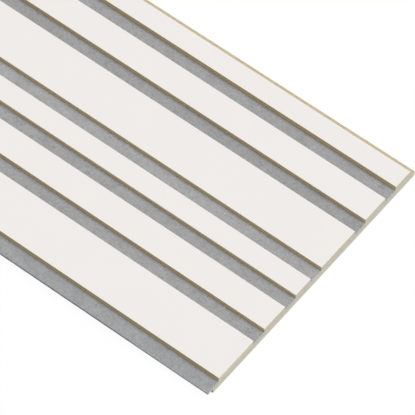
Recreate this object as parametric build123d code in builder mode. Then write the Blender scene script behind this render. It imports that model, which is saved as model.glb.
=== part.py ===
from build123d import *
import os

# Acoustic slat wall panel, 600 mm module: six face slats in a repeated narrow, medium, wide
# rhythm, glued to a sheet of felt, which is glued to a wood fibre board.
# The board is set sideways under the felt, so that it makes a ledge along one long edge
# and the felt makes a free lip along the other: panels side by side lap into each other.
#
# Frame: the panel lies flat with its board down. X runs along the slats, Y across them,
# +Z out of the face. The origin is at the middle of the underside.

# Driving dimensions, millimetres
panel_length = 2400.0

narrow_slat_width = 44.0
medium_slat_width = 60.0
wide_slat_width = 100.0
slat_gap = 32.0
rhythm_repeats = 2

slat_thickness = 12.0
felt_thickness = 5.0
board_thickness = 12.0
arris_radius = 0.5

ledge_width = 16.0
joint_clearance = 1.0

# Worked out from the driving dimensions
slat_widths = [narrow_slat_width, medium_slat_width, wide_slat_width] * rhythm_repeats
cover_width = sum(slat_widths) + len(slat_widths) * slat_gap
board_width = cover_width
felt_width = cover_width - joint_clearance
overall_width = felt_width + ledge_width

board_far_y = overall_width / 2
felt_far_y = board_far_y - ledge_width
felt_bottom_z = board_thickness
slat_bottom_z = felt_bottom_z + felt_thickness
face_z = slat_bottom_z + slat_thickness

# The plane of one sawn end: its sketch x runs along Y and its sketch y along Z
end_plane = Plane.YZ.offset(-panel_length / 2)

# A layer's section hangs from its far bottom corner, towards -Y and up
far_bottom = (Align.MAX, Align.MIN)

os.makedirs("parts", exist_ok=True)


# Backing board: the rigid layer that is fixed to the wall, with the ledge on its far edge
with BuildPart() as backing_board:
    with BuildSketch(end_plane):
        with Locations((board_far_y, 0)):
            Rectangle(board_width, board_thickness, align=far_bottom)
    extrude(amount=panel_length)

backing_board.part.label = "backing_board"
export_step(backing_board.part, "parts/backing_board.step")


# Felt sheet: flush with the first slat at its far edge, and one gap past the last slat,
# less the clearance of the joint, at its near edge
with BuildPart() as felt_sheet:
    with BuildSketch(end_plane):
        with Locations((felt_far_y, felt_bottom_z)):
            Rectangle(felt_width, felt_thickness, align=far_bottom)
    extrude(amount=panel_length)

felt_sheet.part.label = "felt_sheet"
export_step(felt_sheet.part, "parts/felt_sheet.step")


# Face slats: one after the other from the far edge, each with its two face arrises eased
slat_far_y = felt_far_y
for slat_number, slat_width in enumerate(slat_widths, start=1):
    slat_near_y = slat_far_y - slat_width

    with BuildPart() as slat:
        with BuildSketch(end_plane) as slat_section:
            with BuildLine():
                Polyline(
                    (slat_near_y, face_z),
                    (slat_near_y, slat_bottom_z),
                    (slat_far_y, slat_bottom_z),
                    (slat_far_y, face_z),
                    close=True,
                )
            make_face()
            face_corners = slat_section.vertices().group_by(Axis.Y)[-1]
            fillet(face_corners, radius=arris_radius)
        extrude(amount=panel_length)

    slat_name = f"slat_{slat_number}"
    slat.part.label = slat_name
    export_step(slat.part, f"parts/{slat_name}.step")
    slat_far_y = slat_near_y - slat_gap
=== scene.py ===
"""Looks of the acoustic slat wall panel: painted slats, melange felt, raw board and the studio.

Everything is in metres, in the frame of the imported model: X along the slats, Y across them,
Z out of the face.
"""
import logging
import math
from dataclasses import dataclass, field, replace
from enum import Enum, IntEnum
from typing import Sequence

import bmesh
import bpy
from mathutils import Matrix, Vector, noise


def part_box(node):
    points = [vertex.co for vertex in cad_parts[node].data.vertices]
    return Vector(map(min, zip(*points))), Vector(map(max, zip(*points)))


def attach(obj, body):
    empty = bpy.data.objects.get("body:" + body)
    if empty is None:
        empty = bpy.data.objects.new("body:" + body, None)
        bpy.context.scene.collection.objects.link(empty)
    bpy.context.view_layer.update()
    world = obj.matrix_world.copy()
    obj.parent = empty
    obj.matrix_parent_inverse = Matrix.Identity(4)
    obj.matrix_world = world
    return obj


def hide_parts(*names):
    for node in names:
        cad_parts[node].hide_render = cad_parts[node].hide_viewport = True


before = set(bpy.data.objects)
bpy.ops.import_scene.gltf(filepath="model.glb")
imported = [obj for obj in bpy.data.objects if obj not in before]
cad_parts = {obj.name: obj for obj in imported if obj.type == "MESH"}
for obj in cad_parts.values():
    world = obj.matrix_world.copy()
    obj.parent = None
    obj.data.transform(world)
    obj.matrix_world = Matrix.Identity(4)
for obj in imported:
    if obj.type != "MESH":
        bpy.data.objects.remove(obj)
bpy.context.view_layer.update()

log = logging.getLogger("slat_panel")

BODY = "root"
IMAGE_WIDTH = 415
SLAT_NODES = tuple(f"slat_{number}" for number in range(1, 7))

Colour = tuple[float, float, float]
Place = tuple[float, float, float]
Stretch = tuple[float, float, float]
Span = tuple[float, float]
Chain = list[tuple[float, float]]

WHITE: Colour = (1.0, 1.0, 1.0)
NOISE_MEAN = 0.5
NOISE_ROUGHNESS = 0.55


# Shader maths


class Value:
    """What comes out of a shader node, with the arithmetic that adds Math nodes."""

    def __init__(self, graph: "Graph", socket: bpy.types.NodeSocket) -> None:
        """Keep the graph and the socket that carries the number."""
        self.graph = graph
        self.socket = socket

    def _math(self, operation: str, *operands: "Value | float") -> "Value":
        """Add one Math node.

        Args:
            operation: The node's operation.
            operands: Its inputs, in order.

        Returns:
            The node's result.
        """
        inputs = dict(enumerate(operands))
        return self.graph.node("ShaderNodeMath", {"operation": operation}, inputs)

    def __add__(self, other: "Value | float") -> "Value":
        """Sum."""
        return self._math("ADD", self, other)

    __radd__ = __add__

    def __sub__(self, other: "Value | float") -> "Value":
        """Difference."""
        return self._math("SUBTRACT", self, other)

    def __rsub__(self, other: float) -> "Value":
        """Difference with the number on the left."""
        return self._math("SUBTRACT", other, self)

    def __mul__(self, other: "Value | float") -> "Value":
        """Product."""
        return self._math("MULTIPLY", self, other)

    __rmul__ = __mul__

    def __abs__(self) -> "Value":
        """Size without sign."""
        return self._math("ABSOLUTE", self)

    def ramp(self, low: float, high: float) -> "Value":
        """Rise smoothly from 0 at low to 1 at high.

        Args:
            low: The value that gives 0.
            high: The value that gives 1; below low it makes the ramp fall.

        Returns:
            A mask between 0 and 1.
        """
        settings = {"interpolation_type": "SMOOTHSTEP", "clamp": True}
        inputs = {"Value": self, "From Min": low, "From Max": high}
        return self.graph.node("ShaderNodeMapRange", settings, inputs)


Number = Value | float
Tint = Value | Colour
Settings = dict[str, object]
Inputs = dict[int | str, Number | Tint]


class Graph:
    """The node tree of one material or of the world, emptied and built anew."""

    def __init__(self, owner: bpy.types.Material | bpy.types.World) -> None:
        """Empty the owner's node tree.

        Args:
            owner: The material or world to build.
        """
        owner.use_nodes = True
        self.tree = owner.node_tree
        self.tree.nodes.clear()

    def add(self, kind: str, settings: Settings, inputs: Inputs) -> bpy.types.Node:
        """Add a node of any type.

        Args:
            kind: The node's type.
            settings: Its own properties, set before its sockets.
            inputs: Numbers, colours or links, by socket name or place.

        Returns:
            The new node.
        """
        made = self.tree.nodes.new(kind)
        for name, value in settings.items():
            setattr(made, name, value)
        for name, value in inputs.items():
            socket = made.inputs[name]
            if isinstance(value, Value):
                self.tree.links.new(value.socket, socket)
            elif isinstance(value, tuple) and socket.type == "RGBA":
                socket.default_value = (*value, 1.0)
            else:
                socket.default_value = value
        return made

    def node(
        self,
        kind: str,
        settings: Settings | None = None,
        inputs: Inputs | None = None,
        output: int | str = 0,
    ) -> Value:
        """Add a node and take one of its outputs.

        Args:
            kind: The node's type.
            settings: Its own properties.
            inputs: The values or links of its sockets.
            output: The socket to return.

        Returns:
            The chosen output.
        """
        made = self.add(kind, settings or {}, inputs or {})
        return Value(self, made.outputs[output])

    def close(self, kind: str, shader: Value) -> None:
        """Link a shader to the tree's output node."""
        self.add(kind, {}, {"Surface": shader})

    def mix(self, mask: Number, low: Tint, high: Tint) -> Value:
        """Blend two colours.

        Args:
            mask: 0 gives low and 1 gives high.
            low: First colour.
            high: Second colour.

        Returns:
            The blended colour.
        """
        settings = {"data_type": "RGBA", "blend_type": "MIX"}
        return self.node("ShaderNodeMix", settings, {0: mask, 6: low, 7: high}, output=2)

    def shade(self, colour: Tint, gain: Number) -> Value:
        """Multiply a colour or another vector by a number."""
        inputs = {0: colour, "Scale": gain}
        return self.node("ShaderNodeVectorMath", {"operation": "SCALE"}, inputs)

    def place(self) -> Value:
        """The point on the piece, in metres in the row frame."""
        return self.node("ShaderNodeTexCoord", output="Object")

    def axis(self, vector: Value, name: str) -> Value:
        """One coordinate, X, Y or Z, of a vector."""
        return self.node("ShaderNodeSeparateXYZ", None, {0: vector}, output=name)

    def mapped(self, point: Value, stretch: Stretch, turn: float = 0.0) -> Value:
        """Turn a point about Z and stretch it.

        Args:
            point: The point to map.
            stretch: Cycles per metre along each axis.
            turn: Angle in degrees.

        Returns:
            The mapped point.
        """
        turned = self.node(
            "ShaderNodeVectorRotate",
            {"rotation_type": "Z_AXIS"},
            {"Vector": point, "Angle": math.radians(turn)},
        )
        settings = {"operation": "MULTIPLY"}
        return self.node("ShaderNodeVectorMath", settings, {0: turned, 1: stretch})

    def noise(self, point: Value, scale: float = 1.0, octaves: float = 2.0) -> Value:
        """Cloudy noise between 0 and 1.

        Args:
            point: Where to read it.
            scale: Cycles per metre of that point.
            octaves: How many finer layers it holds.

        Returns:
            The noise's value, about 0.5 on average.
        """
        inputs = {
            "Vector": point,
            "Scale": scale,
            "Detail": octaves,
            "Roughness": NOISE_ROUGHNESS,
        }
        return self.node("ShaderNodeTexNoise", None, inputs)

    def curled(self, point: Value, scale: float, reach: float, octaves: float = 1.0) -> Value:
        """Push a point about by cloudy noise, so that straight strands curl.

        Args:
            point: The point to move.
            scale: Cycles of curl per metre.
            reach: How far the noise pushes, in metres.
            octaves: How many finer layers the push holds.

        Returns:
            The moved point.
        """
        inputs = {"Vector": point, "Scale": scale, "Detail": octaves}
        cloud = self.node("ShaderNodeTexNoise", None, inputs, output="Color")
        means = {0: cloud, 1: (NOISE_MEAN, NOISE_MEAN, NOISE_MEAN)}
        centred = self.node("ShaderNodeVectorMath", {"operation": "SUBTRACT"}, means)
        push = self.shade(centred, reach)
        return self.node("ShaderNodeVectorMath", {"operation": "ADD"}, {0: point, 1: push})

    def near_end(
        self, point: Value, half_length: float, reach: float, ragged_scale: float = 1500.0
    ) -> Value:
        """Mark the sawn ends and fade along the edges beside them.

        Args:
            point: The point on the piece.
            half_length: Distance from the middle to either sawn end.
            reach: How far the mask fades along the piece.
            ragged_scale: Cycles per metre of the fade's ragged line.

        Returns:
            1 on the sawn ends and about a third of the reach beside them, and 0 further in
            than the reach.
        """
        ragged = (self.noise(point, ragged_scale) - NOISE_MEAN) * reach
        along = abs(self.axis(point, "X")) + ragged
        return along.ramp(half_length - reach, half_length - reach / 3)

    def bump(self, height: Value, depth: float) -> Value:
        """Turn a height between 0 and 1 into a normal, depth metres deep."""
        inputs = {"Height": height, "Distance": depth, "Strength": 1.0}
        return self.node("ShaderNodeBump", None, inputs)

    def surface(self, **sockets: Number | Tint) -> None:
        """Close the graph with one Principled shader.

        Args:
            sockets: Its inputs, with underscores for spaces.
        """
        inputs = {name.replace("_", " "): value for name, value in sockets.items()}
        self.close("ShaderNodeOutputMaterial", self.node("ShaderNodeBsdfPrincipled", None, inputs))


@dataclass(frozen=True)
class Grain:
    """One layer of noise in a finish, with its shares in the finish's tone and relief."""

    scale: float = 1.0
    octaves: float = 2.0
    stretch: Stretch | None = None
    turn: float = 0.0
    tone: float = 0.0
    relief: float = 0.0

    def at(self, point: Value) -> Value:
        """Read the layer.

        Args:
            point: Where to read it.

        Returns:
            The noise, about 0.5 on average.
        """
        graph = point.graph
        if self.stretch is not None:
            point = graph.mapped(point, self.stretch, self.turn)
        return graph.noise(point, self.scale, self.octaves)


@dataclass(frozen=True)
class Patches:
    """Where a layer of noise is strong enough to change the colour, and by how much."""

    start: float
    full: float
    share: float = 1.0

    def of(self, layer: Value) -> Value:
        """Mask of the patches in a layer of noise."""
        return layer.ramp(self.start, self.full) * self.share


# Finishes


@dataclass(frozen=True)
class PaintedFace:
    """Matt warm white paint on one slat's face and arrises, thinner towards the cut edges."""

    name: str
    near: float
    half_length: float
    colour: Colour = (0.854, 0.821, 0.799)
    thin_colour: Colour = (0.880, 0.821, 0.740)
    thin_reach: float = 0.003
    base_tone: float = 0.985
    cloud: Grain = Grain(9.0, octaves=3.0, tone=0.02)
    peel: Grain = Grain(420.0, octaves=3.0, tone=0.01, relief=0.8)
    dust: Grain = Grain(2600.0, octaves=1.0, relief=0.2)
    sheen: Grain = Grain(60.0, octaves=3.0)
    least_roughness: float = 0.72
    roughness_spread: float = 0.12
    gloss: float = 0.25
    peel_depth: float = 0.00002

    def material(self) -> bpy.types.Material:
        """Build the material.

        Returns:
            A paint with faint roller texture and barely uneven sheen.
        """
        material = bpy.data.materials.new(self.name)
        graph = Graph(material)
        point = graph.place()
        cloud = self.cloud.at(point)
        peel = self.peel.at(point)
        dust = self.dust.at(point)
        from_near = graph.axis(point, "Y") - self.near
        from_end = self.half_length - abs(graph.axis(point, "X"))
        full = 1 - from_near.ramp(self.thin_reach, 0.0)
        full = full * (1 - from_end.ramp(self.thin_reach, 0.0))
        colour = graph.mix(1 - full, self.colour, self.thin_colour)
        tone = self.base_tone + self.cloud.tone * cloud + self.peel.tone * peel
        graph.surface(
            Base_Color=graph.shade(colour, tone),
            Roughness=self.least_roughness + self.roughness_spread * self.sheen.at(point),
            Normal=graph.bump(peel * self.peel.relief + dust * self.dust.relief, self.peel_depth),
            Specular_IOR_Level=self.gloss,
        )
        return material


@dataclass(frozen=True)
class RawFibreboard:
    """Sawn edge of medium density fibreboard, with its denser skins and the saw's marks. Its
    darker skins at top and bottom are partly painted shade, for the contact shadow where the slat
    sits on the felt.

    The outer slat, the one beside the lip, is paler at its sawn end, and painted shade darkens its
    near side.
    """

    name: str
    bottom: float
    top: float
    half_length: float
    outer: Span
    core: Colour = (0.594, 0.486, 0.286)
    # skin colours: the board's denser skins, and partly painted shade for the contact shadow at
    # the bottom of the sawn edge
    skin: Colour = (0.393, 0.306, 0.175)
    end_core: Colour = (0.532, 0.506, 0.412)
    end_skin_and_shade: Colour = (0.448, 0.413, 0.320)
    fleck: Colour = (0.720, 0.620, 0.400)
    wander: Grain = Grain(stretch=(30.0, 30.0, 30.0))
    layers: Grain = Grain(stretch=(70.0, 70.0, 1100.0), octaves=4.0, tone=0.24, relief=0.25)
    fibres: Grain = Grain(stretch=(260.0, 420.0, 2400.0), octaves=3.0, tone=0.50, relief=0.50)
    flecks: Grain = Grain(stretch=(900.0, 900.0, 1500.0))
    fleck_patches: Patches = Patches(0.60, 0.74, share=0.35)
    skin_depth: float = 0.0024
    skin_and_shade_share: float = 0.75
    layer_share: float = 0.18
    saw_scale: float = 128.205
    saw_wobble: float = 1.5
    saw_relief: float = 0.25
    relief: float = 0.00008
    end_fade: float = 0.0025
    base_tone: float = 0.62
    pale_gain: float = 0.085
    pale_fade: float = 0.001
    # painted shade on the outer slat's near side
    outer_side_painted_shade: float = 0.13
    outer_fade: float = 0.0002
    least_roughness: float = 0.86
    roughness_spread: float = 0.10

    def material(self) -> bpy.types.Material:
        """Build the material.

        Returns:
            Layered fibres that follow the board's thickness, flecks and faint saw lines.
        """
        material = bpy.data.materials.new(self.name)
        graph = Graph(material)
        point = graph.place()
        middle = (self.bottom + self.top) / 2
        half = (self.top - self.bottom) / 2
        from_skin = half - abs(graph.axis(point, "Z") - middle)
        wander = (self.wander.at(point) - NOISE_MEAN) * self.skin_depth
        # mask of the darker skins at top and bottom: denser board, and partly painted shade where
        # the slat meets the felt
        skin = (from_skin + wander).ramp(self.skin_depth, 0.0)

        layers = self.layers.at(point)
        fibres = self.fibres.at(point)
        saw = graph.node(
            "ShaderNodeTexWave",
            {"wave_type": "BANDS", "bands_direction": "DIAGONAL", "wave_profile": "SIN"},
            {"Vector": point, "Scale": self.saw_scale, "Distortion": self.saw_wobble},
        )

        cut_end = graph.near_end(point, self.half_length, self.end_fade)
        core = graph.mix(cut_end, self.core, self.end_core)
        dense_and_shaded = graph.mix(cut_end, self.skin, self.end_skin_and_shade)
        dense_and_shaded_share = skin * self.skin_and_shade_share + layers * self.layer_share
        colour = graph.mix(dense_and_shaded_share, core, dense_and_shaded)
        colour = graph.mix(self.fleck_patches.of(self.flecks.at(point)), colour, self.fleck)
        tone = self.base_tone + self.layers.tone * layers + self.fibres.tone * fibres
        # paler sawn end of the outer slat, and painted shade on its near side
        tone = tone + self.outer_tone_and_painted_shade(graph.axis(point, "Y"), cut_end)
        height = fibres * self.fibres.relief + layers * self.layers.relief + saw * self.saw_relief
        graph.surface(
            Base_Color=graph.shade(colour, tone),
            Roughness=self.least_roughness + self.roughness_spread * fibres,
            Normal=graph.bump(height, self.relief),
        )
        return material

    def outer_tone_and_painted_shade(self, across: Value, cut_end: Value) -> Value:
        """Work out how much paler the outer slat's sawn end is, and the painted shade on its near
        side.

        Args:
            across: Place across the panel.
            cut_end: Mask of the sawn ends.

        Returns:
            What to add to the tone.
        """
        near, far = self.outer
        on_slat = across.ramp(far + self.pale_fade, far)
        on_side = across.ramp(near + 2 * self.outer_fade, near + self.outer_fade)
        paler = on_slat * cut_end * self.pale_gain
        # painted shade darkens the outer slat's near side, away from the sawn end
        return paler - on_side * (1 - cut_end) * self.outer_side_painted_shade


@dataclass(frozen=True)
class GreyFelt:
    """Needled melange felt: pale, grey and dark fibres in every direction.

    It is dusty at its sawn ends; under the slats the cut end is paler, partly dust and partly
    painted light against the slats' shadow. Painted shade darkens the top in the last centimetre
    before each cut and across the lip's open strip, and darkens the lip's cut side along most of
    its length, while painted light brightens that side in about the last 0.2 m at the +X end. Two
    of the gaps differ a little in tone.
    """

    near: float
    half_length: float
    slats: tuple[Span, ...]
    pale: Colour = (0.560, 0.570, 0.588)
    grey: Colour = (0.395, 0.400, 0.409)
    dark: Colour = (0.170, 0.174, 0.182)
    dust: Colour = (0.610, 0.590, 0.505)
    curl_scale: float = 110.0
    curl_reach: float = 0.010
    pale_turns: tuple[float, ...] = (12.0, 101.0)
    dark_turns: tuple[float, ...] = (57.0, 148.0)
    hair: Grain = Grain(stretch=(70.0, 620.0, 620.0), octaves=1.0)
    hair_width: float = 0.045
    hair_share: float = 0.22
    clouds: Grain = Grain(38.0, tone=0.26)
    tufts: Grain = Grain(170.0, octaves=3.0, tone=0.26, relief=0.35)
    matting: Grain = Grain(460.0, tone=0.24, relief=0.35)
    specks: Grain = Grain(1500.0, tone=0.26, relief=0.30)
    matted: Patches = Patches(0.50, 0.72, share=0.45)
    hollows: Patches = Patches(0.50, 0.28, share=0.22)
    nap_depth: float = 0.00035
    base_tone: float = 0.39
    dust_reach: float = 0.0016
    least_dust: float = 0.10
    # partly dust and partly painted light: the cut end is paler under the slats, against their
    # shadow
    slat_dust_and_painted_light: float = 0.40
    matted_dust: float = 0.5
    slat_fade: float = 0.001
    toned_gaps: tuple[tuple[int, float], ...] = ((3, 0.065), (2, -0.042))
    gap_reach: float = 0.030
    # painted shade on the felt's top in the last centimetre before each cut
    end_shade_reach: float = 0.010
    end_painted_shade: float = 0.045
    lip_fade: float = 0.012
    # painted shade across the lip's open strip
    lip_painted_shade: float = 0.040
    # painted shade and painted light on the lip's cut side
    side_reach: float = 0.0012
    side_fade: float = 0.001
    side_painted_shade: float = 0.20
    side_light_from: float = 1.00
    side_light_to: float = 1.06
    side_painted_light: float = 0.42
    least_roughness: float = 0.94
    roughness_spread: float = 0.05
    sheen: float = 0.12
    sheen_roughness: float = 0.6

    def material(self) -> bpy.types.Material:
        """Build the material.

        Returns:
            Matted felt with curling hairs, soft clouds of tone and a fuzzy relief.
        """
        material = bpy.data.materials.new("melange_felt")
        graph = Graph(material)
        point = graph.place()
        curled = graph.curled(point, self.curl_scale, self.curl_reach)
        clouds = self.clouds.at(point)
        tufts = self.tufts.at(curled)
        matting = self.matting.at(curled)
        specks = self.specks.at(curled)

        pale_mask = self.matted.of(matting) + self.hairs(curled, self.pale_turns)
        dark_mask = self.hollows.of(tufts) + self.hairs(curled, self.dark_turns)
        colour = graph.mix(pale_mask, self.grey, self.pale)
        colour = graph.mix(dark_mask, colour, self.dark)
        cut_end = graph.near_end(point, self.half_length, self.dust_reach)
        across = graph.axis(point, "Y")
        # dust at the cut end, paler under the slats partly as painted light against their shadow
        dust = self.least_dust + self.slat_dust_and_painted_light * self.under(across) + self.matted_dust * matting
        colour = graph.mix(cut_end * dust, colour, self.dust)
        tone = self.base_tone + self.clouds.tone * clouds + self.tufts.tone * tufts
        tone = tone + self.matting.tone * matting + self.specks.tone * specks
        # painted shade and painted light on the lip and near the cut ends, and the tone of two
        # gaps
        tone = tone + self.tone_and_painted_light(across, graph.axis(point, "X"), cut_end)
        height = tufts * self.tufts.relief + matting * self.matting.relief
        height = height + specks * self.specks.relief
        graph.surface(
            Base_Color=graph.shade(colour, tone),
            Roughness=self.least_roughness + self.roughness_spread * specks,
            Normal=graph.bump(height, self.nap_depth),
            Sheen_Weight=self.sheen,
            Sheen_Roughness=self.sheen_roughness,
        )
        return material

    def hairs(self, curled: Value, turns: Sequence[float]) -> Value:
        """Draw long thin hairs.

        Args:
            curled: The curled point.
            turns: The angles that they lie at, in degrees.

        Returns:
            Mask of the hairs, times their share.
        """
        mask: Number = 0.0
        for turn in turns:
            strands = replace(self.hair, turn=turn).at(curled)
            mask = mask + abs(strands - NOISE_MEAN).ramp(self.hair_width, 0.0)
        return mask * self.hair_share

    def under(self, across: Value) -> Value:
        """Find the strips that the slats cover.

        Args:
            across: Place across the panel.

        Returns:
            1 under the slats and 0 between them.
        """
        fade = self.slat_fade
        covered: Number = 0.0
        for near, far in self.slats:
            covered = covered + across.ramp(near - fade, near) * across.ramp(far + fade, far)
        return covered

    def tone_and_painted_light(self, across: Value, along: Value, cut_end: Value) -> Value:
        """Work out the tone changes: two gaps a little paler or darker, and the painted shade and
        painted light on the lip and near the cut ends.

        Args:
            across: Place across the panel.
            along: Place along it.
            cut_end: Mask of the sawn ends.

        Returns:
            What to add to the tone.
        """
        change: Number = 0.0
        for gap, gain in self.toned_gaps:
            middle = (self.slats[gap - 1][0] + self.slats[gap][1]) / 2
            in_gap = abs(across - middle).ramp(self.gap_reach, self.gap_reach / 2)
            change = change + in_gap * gain

        lip_edge = self.slats[-1][0]
        # painted shade darkens the lip's open strip beyond the outer slat
        lip = across.ramp(lip_edge, lip_edge - self.lip_fade)
        # painted shade: the felt's top is darker just before each cut
        end_shade = abs(along).ramp(self.half_length - self.end_shade_reach, self.half_length)
        change = change - lip * self.lip_painted_shade - end_shade * (1 - cut_end) * self.end_painted_shade

        side_edge = self.near + self.side_reach
        # painted shade on the lip's cut side, and painted light on it towards the +X end
        side_shade_and_light = across.ramp(side_edge, side_edge - self.side_fade)
        side_light_mask = along.ramp(self.side_light_from, self.side_light_to)
        return change + side_shade_and_light * (side_light_mask * self.side_painted_light - self.side_painted_shade)


@dataclass(frozen=True)
class WoodFibreBoard:
    """Raw pale wood fibre board: pressed clumps on its face, layers on its sawn edges."""

    half_length: float
    core: Colour = (0.543, 0.460, 0.300)
    clump: Colour = (0.668, 0.579, 0.405)
    end_core: Colour = (0.516, 0.489, 0.396)
    shive: Colour = (0.300, 0.225, 0.140)
    clumps: Grain = Grain(stretch=(150.0, 190.0, 700.0), turn=20.0, octaves=3.0)
    threads: Grain = Grain(
        stretch=(160.0, 900.0, 1400.0), turn=35.0, octaves=3.0, tone=0.10, relief=0.35
    )
    crossing: Grain = Grain(
        stretch=(160.0, 900.0, 1400.0), turn=118.0, octaves=3.0, tone=0.10, relief=0.35
    )
    shives: Grain = Grain(stretch=(220.0, 1300.0, 1600.0), turn=70.0, octaves=1.0)
    specks: Grain = Grain(1700.0, tone=0.12, relief=0.30)
    clump_patches: Patches = Patches(0.35, 0.70)
    shive_patches: Patches = Patches(0.70, 0.80, share=0.7)
    clump_share: float = 0.6
    end_clump_loss: float = 0.4
    relief: float = 0.00012
    end_fade: float = 0.002
    base_tone: float = 0.84
    least_roughness: float = 0.88
    roughness_spread: float = 0.08

    def material(self) -> bpy.types.Material:
        """Build the material.

        Returns:
            Pressed fibre in clumps, with a few dark shives and a coarse relief.
        """
        material = bpy.data.materials.new("wood_fibre_board")
        graph = Graph(material)
        point = graph.place()
        threads = self.threads.at(point)
        crossing = self.crossing.at(point)
        specks = self.specks.at(point)

        cut_end = graph.near_end(point, self.half_length, self.end_fade)
        core = graph.mix(cut_end, self.core, self.end_core)
        clumps = self.clump_patches.of(self.clumps.at(point))
        clumps = clumps * (self.clump_share - self.end_clump_loss * cut_end)
        colour = graph.mix(clumps, core, self.clump)
        colour = graph.mix(self.shive_patches.of(self.shives.at(point)), colour, self.shive)
        tone = self.base_tone + self.threads.tone * threads + self.crossing.tone * crossing
        tone = tone + self.specks.tone * specks
        height = threads * self.threads.relief + crossing * self.crossing.relief
        height = height + specks * self.specks.relief
        graph.surface(
            Base_Color=graph.shade(colour, tone),
            Roughness=self.least_roughness + self.roughness_spread * specks,
            Normal=graph.bump(height, self.relief),
        )
        return material


# Meshes


class Shading(Enum):
    """How a strip of a bar's skin is shaded."""

    FLAT = 0
    ROUND = 1


class Skin(IntEnum):
    """A slat's material slots."""

    PAINTED = 0
    RAW = 1


@dataclass
class Strip:
    """One strip of a bar's skin, between two neighbouring corners of its section."""

    shading: Shading
    slot: int


@dataclass
class BarSection:
    """Closed section of a straight bar, in (y, z), with how each strip is shaded and painted."""

    points: Chain = field(default_factory=list)
    strips: list[Strip] = field(default_factory=list)

    def add(self, y: float, z: float, shading: Shading, slot: int) -> None:
        """Add a corner and the strip that leads from it to the next corner."""
        self.points.append((y, z))
        self.strips.append(Strip(shading, slot))

    def corner(
        self,
        centre: tuple[float, float],
        radius: float,
        start: float,
        steps: int,
        slot: int = 0,
        next_slot: int = 0,
    ) -> None:
        """Add a quarter round.

        Args:
            centre: The arc's centre.
            radius: Its radius.
            start: Angle of its first point, in degrees; it runs 90 degrees clockwise.
            steps: Facets in the quarter.
            slot: Material slot of its facets.
            next_slot: Material slot of the flat strip that follows it.
        """
        for step in range(steps + 1):
            angle = math.radians(start - 90.0 * step / steps)
            y = centre[0] + radius * math.cos(angle)
            z = centre[1] + radius * math.sin(angle)
            if step < steps:
                self.add(y, z, Shading.ROUND, slot)
            else:
                self.add(y, z, Shading.FLAT, next_slot)


def drawn_in(place: float, middle: float, inset: float) -> float:
    """Move a coordinate towards the middle by the inset, but not past it."""
    return place - math.copysign(min(inset, abs(place - middle)), place - middle)


@dataclass
class Bar:
    """A straight bar along X: a section swept from one sawn end to the other."""

    name: str
    section: BarSection
    start_x: float
    end_x: float
    end_slot: int = 0
    end_bevel: float = 0.0002

    def build(self, materials: Sequence[bpy.types.Material]) -> bpy.types.Object:
        """Make the bar's mesh.

        Args:
            materials: The materials of its slots.

        Returns:
            The new object, linked to the scene.
        """
        work = bmesh.new()
        rings = self.rings(work)
        count = len(self.section.points)
        for before, after in zip(rings, rings[1:]):
            for index, strip in enumerate(self.section.strips):
                following = (index + 1) % count
                corners = (before[index], before[following], after[following], after[index])
                face = work.faces.new(corners)
                face.smooth = strip.shading is Shading.ROUND
                face.material_index = strip.slot
        for cap in (work.faces.new(rings[0]), work.faces.new(rings[-1])):
            cap.material_index = self.end_slot
        bmesh.ops.recalc_face_normals(work, faces=work.faces)
        return finish_mesh(work, self.name, materials)

    def rings(self, work: bmesh.types.BMesh) -> list[list[bmesh.types.BMVert]]:
        """Set out the section at both ends, drawn in by the bevel at the very ends.

        Args:
            work: The mesh that gets the corners.

        Returns:
            The corners of each ring, from the start to the end.
        """
        points = self.section.points
        middle_y = sum(y for y, _ in points) / len(points)
        middle_z = (min(z for _, z in points) + max(z for _, z in points)) / 2
        stations = [
            (self.start_x, self.end_bevel),
            (self.start_x + self.end_bevel, 0.0),
            (self.end_x - self.end_bevel, 0.0),
            (self.end_x, self.end_bevel),
        ]
        rings = []
        for x, inset in stations:
            ring = []
            for y, z in points:
                corner = (x, drawn_in(y, middle_y, inset), drawn_in(z, middle_z, inset))
                ring.append(work.verts.new(corner))
            rings.append(ring)
        return rings


def finish_mesh(
    work: bmesh.types.BMesh, name: str, materials: Sequence[bpy.types.Material]
) -> bpy.types.Object:
    """Turn a bmesh into an object of the scene.

    Args:
        work: The mesh data, freed here.
        name: The object's name.
        materials: The materials of its slots.

    Returns:
        The new object.
    """
    mesh = bpy.data.meshes.new(name)
    work.to_mesh(mesh)
    work.free()
    for material in materials:
        mesh.materials.append(material)
    made = bpy.data.objects.new(name, mesh)
    bpy.context.scene.collection.objects.link(made)
    return made


def settle(piece: bpy.types.Object, node: str) -> bpy.types.Object:
    """Put a finished piece on the panel's body in place of its CAD solid.

    Args:
        piece: The finished piece.
        node: The CAD node that it stands for.

    Returns:
        The same piece.
    """
    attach(piece, BODY)
    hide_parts(node)
    return piece


# Sub-assemblies


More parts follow.
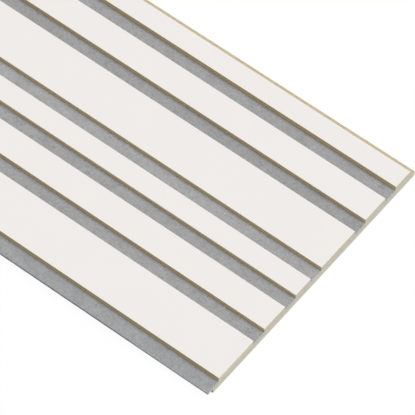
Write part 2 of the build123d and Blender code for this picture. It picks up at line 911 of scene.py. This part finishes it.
@dataclass
class FaceSlats:
    """The painted fibreboard slats, all cut from the same board."""

    nodes: tuple[str, ...] = SLAT_NODES
    arris_radius: float = 0.0005
    arris_steps: int = 4
    paint_returns: tuple[float, ...] = (0.0, 0.0017, 0.0019, 0.0028, 0.0011, 0.0)
    far_return: float = 0.0011
    back_bevel: float = 0.0002

    def section(self, low: Vector, high: Vector, paint_return: float) -> BarSection:
        """Draw a slat's section, clockwise from its near bottom edge.

        Args:
            low: The lowest corner of the slat's box.
            high: The highest corner of the slat's box.
            paint_return: How far the face's paint runs down the near side; 0 leaves the near
                arris bare too.

        Returns:
            The section, with its strips painted or raw.
        """
        near, far, back, face = low.y, high.y, low.z, high.z
        radius, steps = self.arris_radius, self.arris_steps
        painted_side = paint_return > radius
        section = BarSection()
        section.add(near + self.back_bevel, back, Shading.FLAT, Skin.RAW)
        section.add(near, back + self.back_bevel, Shading.FLAT, Skin.RAW)
        if painted_side:
            section.add(near, face - paint_return, Shading.FLAT, Skin.PAINTED)
        near_skin = Skin.PAINTED if painted_side else Skin.RAW
        section.corner((near + radius, face - radius), radius, 180.0, steps, near_skin)
        section.corner((far - radius, face - radius), radius, 90.0, steps)
        section.add(far, face - self.far_return, Shading.FLAT, Skin.RAW)
        section.add(far, back + self.back_bevel, Shading.FLAT, Skin.RAW)
        section.add(far - self.back_bevel, back, Shading.FLAT, Skin.RAW)
        return section

    def build(self) -> list[bpy.types.Object]:
        """Make every slat in place of its CAD solid.

        Returns:
            The slats, from the ledge's side to the lip's.
        """
        low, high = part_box(self.nodes[-1])
        outer = (low.y, high.y)
        raw = RawFibreboard("raw_fibreboard_edge", low.z, high.z, high.x, outer).material()
        slats = []
        for node, paint_return in zip(self.nodes, self.paint_returns):
            low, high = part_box(node)
            paint = PaintedFace(f"{node}_face_paint", low.y, high.x).material()
            section = self.section(low, high, paint_return)
            bar = Bar(f"painted_{node}", section, low.x, high.x, end_slot=Skin.RAW)
            slats.append(settle(bar.build([paint, raw]), node))
        return slats


def stitch(
    work: bmesh.types.BMesh,
    before: Sequence[bmesh.types.BMVert],
    after: Sequence[bmesh.types.BMVert],
) -> None:
    """Join two rows of corners, point by point, with a strip of faces."""
    for index in range(len(before) - 1):
        work.faces.new((before[index], before[index + 1], after[index + 1], after[index]))


def cloud(x: float, y: float, z: float, stretch: Stretch) -> float:
    """Smooth noise between -1 and 1, with its cycles per metre along each axis."""
    return noise.noise(Vector((x * stretch[0], y * stretch[1], z * stretch[2])))


@dataclass
class FeltSheet:
    """The felt between slats and board: flat under the slats, soft between them, cut all round."""

    node: str = "felt_sheet"
    pressed_by: tuple[str, ...] = SLAT_NODES
    step_x: float = 0.006
    step_y: float = 0.0025
    side_rows: int = 3
    edge_steps: int = 4
    edge_radius: float = 0.0009
    hollow: float = 0.0003
    hollow_fade: float = 0.004
    broad_stretch: Stretch = (28.0, 28.0, 1.0)
    broad_share: float = 0.3
    fine_stretch: Stretch = (110.0, 110.0, 1.0)
    fine_share: float = 0.2
    fine_level: float = 7.0
    edge_wander: float = 0.0005
    edge_fade: float = 0.004
    edge_stretch: Stretch = (60.0, 60.0, 400.0)
    low: Vector = field(init=False)
    high: Vector = field(init=False)
    slats: tuple[Span, ...] = field(init=False)
    strips: list[Span] = field(init=False)

    def __post_init__(self) -> None:
        """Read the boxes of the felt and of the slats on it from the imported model."""
        self.low, self.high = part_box(self.node)
        self.slats = tuple((low.y, high.y) for low, high in map(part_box, self.pressed_by))
        self.strips = self.open_strips()

    @property
    def margin(self) -> float:
        """How far in from a cut the plain top starts."""
        return 2 * self.edge_radius

    def open_strips(self) -> list[Span]:
        """Find the strips that no slat covers.

        Returns:
            The near and the far side of each, from the near side of the panel on.
        """
        strips = []
        near = self.low.y
        for slat_near, slat_far in sorted(self.slats):
            strips.append((near, slat_near))
            near = slat_far
        return strips

    def rounding(self) -> Chain:
        """Round a cut edge.

        Returns:
            Distance in from the cut and drop below the top of each point, from the cut on.
        """
        radius = self.edge_radius
        points = []
        for step in range(self.edge_steps + 1):
            angle = math.radians(90.0 * step / self.edge_steps)
            points.append((radius * (1.0 - math.cos(angle)), radius * (1.0 - math.sin(angle))))
        return points

    def side_heights(self) -> list[float]:
        """Set out the rows below the rounded edge.

        Returns:
            Their heights, from the bottom up.
        """
        bottom, rows = self.low.z, self.side_rows
        shoulder = self.high.z - self.edge_radius
        return [bottom + (shoulder - bottom) * row / rows for row in range(rows)]

    def profile(self) -> Chain:
        """Draw the felt's section, from its near bottom edge over the top to the far one.

        Returns:
            The open chain of points, in (y, z).
        """
        low, high = self.low, self.high
        side = self.side_heights()
        points = [(low.y, z) for z in side]
        points += [(low.y + inward, high.z - drop) for inward, drop in self.rounding()]
        for near, far in self.strips:
            start = max(near, low.y + self.margin)
            count = round((far - start) / self.step_y)
            places = [start + (far - start) * index / count for index in range(count + 1)]
            points += [(y, high.z) for y in places]
        points.append((high.y - self.margin, high.z))
        points += [(high.y - inward, high.z - drop) for inward, drop in reversed(self.rounding())]
        points += [(high.y, z) for z in reversed(side)]
        return points

    def stations(self) -> Chain:
        """List the rings along the panel.

        Returns:
            The place of each along X, and how far its top is rounded down.
        """
        start = self.low.x + self.margin
        end = self.high.x - self.margin
        count = round((end - start) / self.step_x)
        rings = [(self.low.x + inward, drop) for inward, drop in self.rounding()]
        rings += [(start + (end - start) * index / count, 0.0) for index in range(count + 1)]
        rings += [(self.high.x - inward, drop) for inward, drop in reversed(self.rounding())]
        return rings

    def worked(self, x: float, y: float, z: float) -> Place:
        """Move a point of the plain sheet by the unevenness of real felt.

        Args:
            x: Place along the panel.
            y: Place across it.
            z: Height.

        Returns:
            The moved point.
        """
        low, high = self.low, self.high
        depth = 0.0
        for near, far in self.strips:
            from_slat = far - y if near == low.y else min(y - near, far - y)
            if near <= y <= far:
                depth = self.hollow * min(1.0, from_slat / self.hollow_fade)
        lift = max(0.0, 1.0 - (high.z - z) / self.edge_radius)
        broad = cloud(x, y, 0.0, self.broad_stretch)
        fine = cloud(x, y, self.fine_level, self.fine_stretch)
        uneven = NOISE_MEAN + self.broad_share * broad + self.fine_share * fine
        sunk = z - depth * lift * uneven

        ragged = self.edge_wander * (0.5 + 0.5 * cloud(x, y, z, self.edge_stretch))
        at_end = max(0.0, 1.0 - min(x - low.x, high.x - x) / self.edge_fade)
        at_side = max(0.0, 1.0 - min(y - low.y, high.y - y) / self.edge_fade)
        inner_x = x - math.copysign(ragged * at_end, x)
        inner_y = y - math.copysign(ragged * at_side, y)
        return (inner_x, inner_y, sunk)

    def cap(
        self, work: bmesh.types.BMesh, ring: list[bmesh.types.BMVert], x: float
    ) -> list[bmesh.types.BMVert]:
        """Close one cut end with a grid, so that the cut is as uneven as the top.

        Args:
            work: The mesh.
            ring: The end ring, from its near bottom edge to the far one.
            x: Place of the cut.

        Returns:
            The bottom row of the grid, from near to far.
        """
        rows = self.side_rows
        last = len(ring) - 1
        heights = self.side_heights()
        above = ring[rows : last - rows + 1]
        places = [y for y, _ in self.profile()][rows + 1 : last - rows]
        for row in reversed(range(rows)):
            inner = [work.verts.new(self.worked(x, y, heights[row])) for y in places]
            below = [ring[row], *inner, ring[last - row]]
            stitch(work, above, below)
            above = below
        return above

    def skin(self) -> bmesh.types.BMesh:
        """Make the sheet's closed skin.

        Returns:
            The mesh: smooth on top and at the cuts, flat underneath.
        """
        work = bmesh.new()
        profile = self.profile()
        stations = self.stations()
        rings = []
        for x, drop in stations:
            top = self.high.z - drop
            rings.append([work.verts.new(self.worked(x, y, min(z, top))) for y, z in profile])
        for before, after in zip(rings, rings[1:]):
            stitch(work, before, after)

        start_row = self.cap(work, rings[0], stations[0][0])
        end_row = self.cap(work, rings[-1], stations[-1][0])
        bottoms = [start_row, *[[ring[0], ring[-1]] for ring in rings[1:-1]], end_row]
        for face in work.faces:
            face.smooth = True
        for before, after in zip(bottoms, bottoms[1:]):
            work.faces.new([*before, *reversed(after)])
        bmesh.ops.recalc_face_normals(work, faces=work.faces)
        return work

    def build(self) -> list[bpy.types.Object]:
        """Make the felt in place of its CAD solid.

        Returns:
            The felt.
        """
        finish = GreyFelt(self.low.y, self.high.x, self.slats).material()
        felt = finish_mesh(self.skin(), "melange_felt_sheet", [finish])
        return [settle(felt, self.node)]


@dataclass
class BackingBoard:
    """The raw wood fibre board under the felt."""

    node: str = "backing_board"
    edge_radius: float = 0.0004
    edge_steps: int = 3

    def section(self, low: Vector, high: Vector) -> BarSection:
        """Draw the board's section with all four long edges barely eased.

        Args:
            low: The lowest corner of the board's box.
            high: The highest corner of the board's box.

        Returns:
            The section, on one slot.
        """
        radius = self.edge_radius
        near, far = low.y + radius, high.y - radius
        lower, upper = low.z + radius, high.z - radius
        centres = [(near, lower), (near, upper), (far, upper), (far, lower)]
        section = BarSection()
        for number, centre in enumerate(centres):
            section.corner(centre, radius, 270.0 - 90.0 * number, self.edge_steps)
        return section

    def build(self) -> list[bpy.types.Object]:
        """Make the board in place of its CAD solid.

        Returns:
            The board.
        """
        low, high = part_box(self.node)
        bar = Bar("raw_backing_board", self.section(low, high), low.x, high.x)
        board = bar.build([WoodFibreBoard(high.x).material()])
        return [settle(board, self.node)]


# Studio


def direction(azimuth: float, elevation: float) -> Vector:
    """Point at a place in the studio.

    Args:
        azimuth: Angle about Z from the near side towards the photographed end, in degrees.
        elevation: Angle above the floor, in degrees.

    Returns:
        The unit vector from the panel to that place.
    """
    turn = math.radians(azimuth)
    lift = math.radians(elevation)
    level = math.cos(lift)
    return Vector((math.sin(turn) * level, -math.cos(turn) * level, math.sin(lift)))


@dataclass
class Studio:
    """Pale floor, soft light from the panel's photographed end, and white behind it all."""

    floor_half: float = 45.0
    floor_seen: Colour = (0.94, 0.94, 0.94)
    floor_bounce: Colour = (0.45, 0.45, 0.45)
    backdrop_share: float = 0.95
    sky_level: float = 0.50
    key_level: float = 2.33
    key_azimuth: float = 96.5
    key_elevation: float = 44.0
    key_spread: float = 34.0

    def build(self) -> list[bpy.types.Object]:
        """Make the floor, the world and the lamp.

        Returns:
            The floor and the lamp.
        """
        bpy.context.scene.view_settings.view_transform = "Standard"
        self.light_world()
        return [self.lay_floor(), self.hang_key()]

    def seen(self, graph: Graph) -> Value:
        """Find the rays that see the backdrop.

        Args:
            graph: The graph that gets the nodes.

        Returns:
            1 for rays from the camera, off gloss and through glass, and 0 for the others.
        """
        camera = graph.node("ShaderNodeLightPath", output="Is Camera Ray")
        glossy = graph.node("ShaderNodeLightPath", output="Is Glossy Ray")
        through = graph.node("ShaderNodeLightPath", output="Is Transmission Ray")
        return (camera + glossy + through).ramp(0.0, 1.0)

    def lay_floor(self) -> bpy.types.Object:
        """Lay the floor, which looks white but keeps some of the panel's shadow.

        Returns:
            The floor.
        """
        work = bmesh.new()
        half = self.floor_half
        corners = [(-half, -half, 0.0), (half, -half, 0.0), (half, half, 0.0), (-half, half, 0.0)]
        work.faces.new([work.verts.new(corner) for corner in corners])
        material = bpy.data.materials.new("studio_floor")
        graph = Graph(material)
        seen = self.seen(graph)
        colour = graph.mix(seen, self.floor_bounce, self.floor_seen)
        dull = graph.node("ShaderNodeBsdfDiffuse", None, {"Color": colour})
        white = graph.node("ShaderNodeEmission", None, {"Color": WHITE, "Strength": 1.0})
        both = {0: seen * self.backdrop_share, 1: dull, 2: white}
        graph.close("ShaderNodeOutputMaterial", graph.node("ShaderNodeMixShader", None, both))
        floor = finish_mesh(work, "studio_floor", [material])
        return floor

    def light_world(self) -> None:
        """Light the panel evenly from the sky and show white to the camera."""
        world = bpy.data.worlds.new("studio")
        bpy.context.scene.world = world
        graph = Graph(world)
        level = self.seen(graph) * (1.0 - self.sky_level) + self.sky_level
        sky = graph.node("ShaderNodeBackground", None, {"Color": WHITE, "Strength": level})
        graph.close("ShaderNodeOutputWorld", sky)

    def hang_key(self) -> bpy.types.Object:
        """Hang the broad key lamp beyond the photographed end.

        Returns:
            The lamp.
        """
        lamp = bpy.data.lights.new("key", "SUN")
        lamp.energy = self.key_level
        lamp.angle = math.radians(self.key_spread)
        key = bpy.data.objects.new("key", lamp)
        towards = direction(self.key_azimuth, self.key_elevation)
        key.rotation_mode = "QUATERNION"
        key.rotation_quaternion = towards.to_track_quat("Z", "Y")
        bpy.context.scene.collection.objects.link(key)
        return key


@dataclass
class PhotoCamera:
    """The photograph's viewpoint, fitted to the panel's long edges and end corners."""

    azimuth: float = 35.64
    elevation: float = 55.655
    roll: float = 2.693
    distance: float = 7.6508
    focal_pixels: float = 4241.7
    aim: Place = (0.96154, -0.00246, 0.029)
    sensor_width: float = 36.0
    nearest: float = 0.1
    furthest: float = 200.0

    def build(self) -> list[bpy.types.Object]:
        """Make the camera and use it.

        Returns:
            The camera.
        """
        turn = math.radians(self.azimuth)
        roll = math.radians(self.roll)
        back = direction(self.azimuth, self.elevation)
        level_right = Vector((math.cos(turn), math.sin(turn), 0.0))
        level_up = back.cross(level_right)
        right = level_right * math.cos(roll) + level_up * math.sin(roll)
        up = back.cross(right)
        place = Matrix((right, up, back)).transposed().to_4x4()
        place.translation = Vector(self.aim) + back * self.distance

        data = bpy.data.cameras.new("photo_camera")
        data.sensor_width = self.sensor_width
        data.lens = self.focal_pixels / IMAGE_WIDTH * self.sensor_width
        data.clip_start = self.nearest
        data.clip_end = self.furthest
        camera = bpy.data.objects.new("photo_camera", data)
        camera.matrix_world = place
        bpy.context.scene.collection.objects.link(camera)
        bpy.context.scene.camera = camera
        return [camera]


def main() -> None:
    """Build the panel layer by layer, then the studio and the camera, and report each piece."""
    logging.basicConfig(level=logging.INFO, format="%(name)s: %(message)s")
    for assembly in (BackingBoard(), FeltSheet(), FaceSlats()):
        for piece in assembly.build():
            log.info("%s, %d faces", piece.name, len(piece.data.polygons))
    for setting in (Studio(), PhotoCamera()):
        for thing in setting.build():
            log.info("%s, of the studio", thing.name)


if __name__ == "__main__":
    main()
